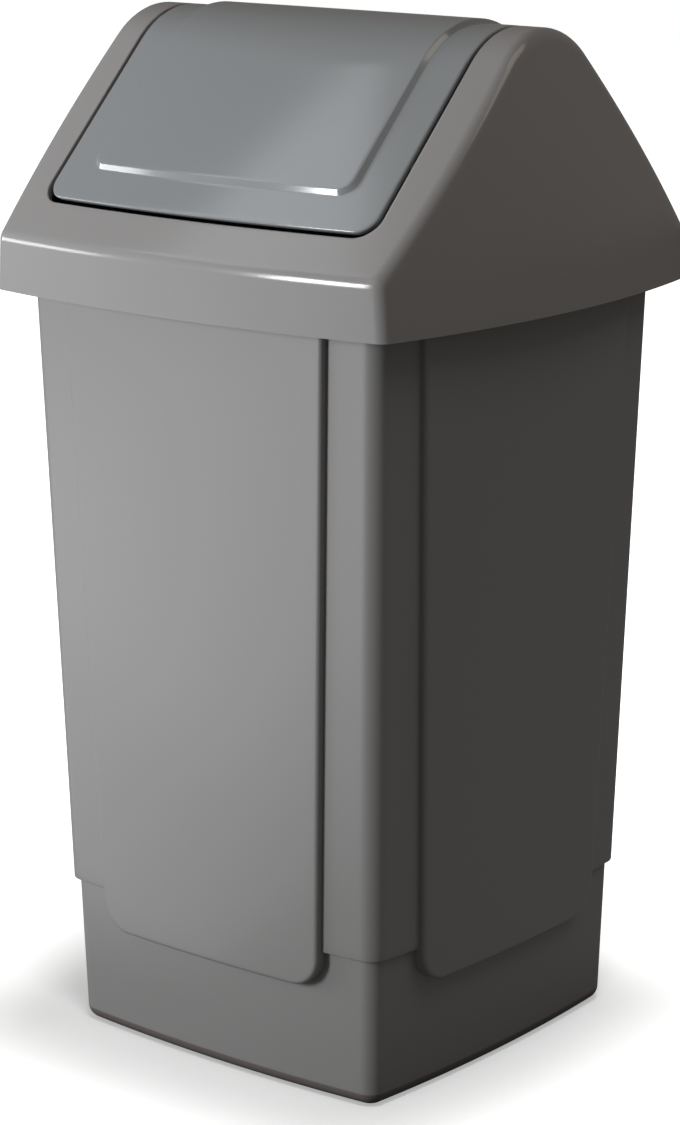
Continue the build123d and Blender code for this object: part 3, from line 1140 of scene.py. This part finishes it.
neutral = (1.0, 1.0, 1.0)
cool = (0.98, 1.0, 1.02)
cooler = (0.97, 1.0, 1.03)
warm = (1.10, 0.98, 0.88)
object_lamps = [
    soft_lamp("tall_softbox", (-0.76, -1.98, 0.80), (0.15, -0.17, 0.55), 0.42, 0.70, 30.5, neutral),
    soft_lamp("left_softbox", (-2.2, -1.2, 0.62), (0, 0, 0.4), 1.2, 0.5, 18, cool),
    soft_lamp("far_card", (-0.9, -1.3, 0.02), (-0.9, -1.3, 1.0), 1.3, 1.5, 6, cool),
    soft_lamp("near_card", (-0.75, -1.0, 0.04), (-0.75, -1.0, 1.0), 1.4, 1.6, 4.4, cool),
    soft_lamp("sheen_softbox", (-1.17, -0.80, 2.15), (0.05, -0.1, 0.6), 0.75, 0.75, 2.8, cooler),
    soft_lamp("right_softbox", (1.25, 0.3, 2.2), (0, 0, 0.4), 1.0, 1.0, 5.4, warm),
]
floor_lamps = [
    soft_lamp("floor_lamp_above", (0.12, 0.08, 4.0), (0, 0, 0), 0.7, 0.7, 112, neutral),
    soft_lamp("floor_lamp_ahead", (0.9, -0.85, 2.6), (0, 0, 0), 0.6, 0.6, 21, neutral),
]
print("lamps:", len(object_lamps), "for the bin and", len(floor_lamps), "for the floor")

# %% [markdown]
# The world fills the shadows with a weak warm light, and the camera sees it as white. The floor is paper:
# the camera sees it pale, lifted to white away from the bin, while the bin sees a dark one that throws
# little light back up at its walls.

# %% World
ambient_colour = (1.06, 0.99, 0.92)
ambient_strength = 0.16
world = bpy.data.worlds.new("studio")
bpy.context.scene.world = world
world.use_nodes = True
tree = world.node_tree
path = tree.nodes.new("ShaderNodeLightPath")
ambient = tree.nodes["Background"]
ambient.inputs["Color"].default_value = (*ambient_colour, 1)
ambient.inputs["Strength"].default_value = ambient_strength
white = tree.nodes.new("ShaderNodeBackground")
white.inputs["Color"].default_value = (1, 1, 1, 1)
pick = tree.nodes.new("ShaderNodeMixShader")
tree.links.new(path.outputs["Is Camera Ray"], pick.inputs[0])
tree.links.new(ambient.outputs[0], pick.inputs[1])
tree.links.new(white.outputs[0], pick.inputs[2])
tree.links.new(pick.outputs[0], tree.nodes["World Output"].inputs["Surface"])
print("ambient light:", ambient_strength)

# %% Floor
paper_colour = (0.80, 0.79, 0.795)
paper_lift = 0.40
lift_colour = (0.965, 1.0, 0.99)
shadow_reach = (0.05, 0.40)
base_foot = 0.12
bounce_colour = (0.12, 0.12, 0.12)
floor_reach = 6.0


def floor_finish():
    """Paper that the camera sees as white but for the shadow, and that throws little light back."""
    paper = Plastic("floor_paper")
    kind = "ShaderNodeVectorMath"
    base_corner = (base_foot, base_foot, 0)
    from_middle = paper.node(kind, {"operation": "ABSOLUTE"}, paper.place)["Vector"]
    outside = paper.node(kind, {"operation": "SUBTRACT"}, from_middle, base_corner)["Vector"]
    beyond = paper.node(kind, {"operation": "MAXIMUM"}, outside, (0, 0, 0))["Vector"]
    reach = paper.node(kind, {"operation": "LENGTH"}, beyond)["Value"]
    fade = paper.node("ShaderNodeMapRange", {"interpolation_type": "SMOOTHSTEP"},
                      reach, shadow_reach[0], shadow_reach[1], paper_lift, 1.0)["Result"]
    seen = paper.node("ShaderNodeBsdfDiffuse", {}, Color=(*paper_colour, 1))["BSDF"]
    glow = paper.node("ShaderNodeEmission", {}, Color=(*lift_colour, 1), Strength=fade)["Emission"]
    pale = paper.node("ShaderNodeAddShader", {}, seen, glow)["Shader"]
    back = paper.node("ShaderNodeBsdfDiffuse", {}, Color=(*bounce_colour, 1))["BSDF"]
    camera_ray = paper.node("ShaderNodeLightPath", {})["Is Camera Ray"]
    both = paper.node("ShaderNodeMixShader", {}, camera_ray, back, pale)["Shader"]
    paper.feed(paper.tree.nodes["Material Output"].inputs["Surface"], both)
    return paper.material


sheet = bpy.data.meshes.new("floor")
corners = [(-1, -1), (1, -1), (1, 1), (-1, 1)]
sheet.from_pydata([(x * floor_reach, y * floor_reach, 0) for x, y in corners], [], [(0, 1, 2, 3)])
floor = shown("floor", sheet)
floor.data.materials.append(floor_finish())
print("floor reaches", floor_reach, "m each way")


# %% Which lamp lights what
def light_link(lamps, name, state):
    """Makes lamps light only the floor, or everything but the floor."""
    group = bpy.data.collections.new(name)
    group.objects.link(floor)
    group.collection_objects[0].light_linking.link_state = state
    for lamp in lamps:
        lamp.light_linking.receiver_collection = group
    print(name, [lamp.name for lamp in lamps])


light_link(floor_lamps, "only_the_floor", "INCLUDE")
light_link(object_lamps, "all_but_the_floor", "EXCLUDE")

# %% [markdown]
# The Standard view shows a colour about as it is written.

# %% Colour handling
bpy.context.scene.view_settings.view_transform = "Standard"
print(bpy.context.scene.view_settings.view_transform)
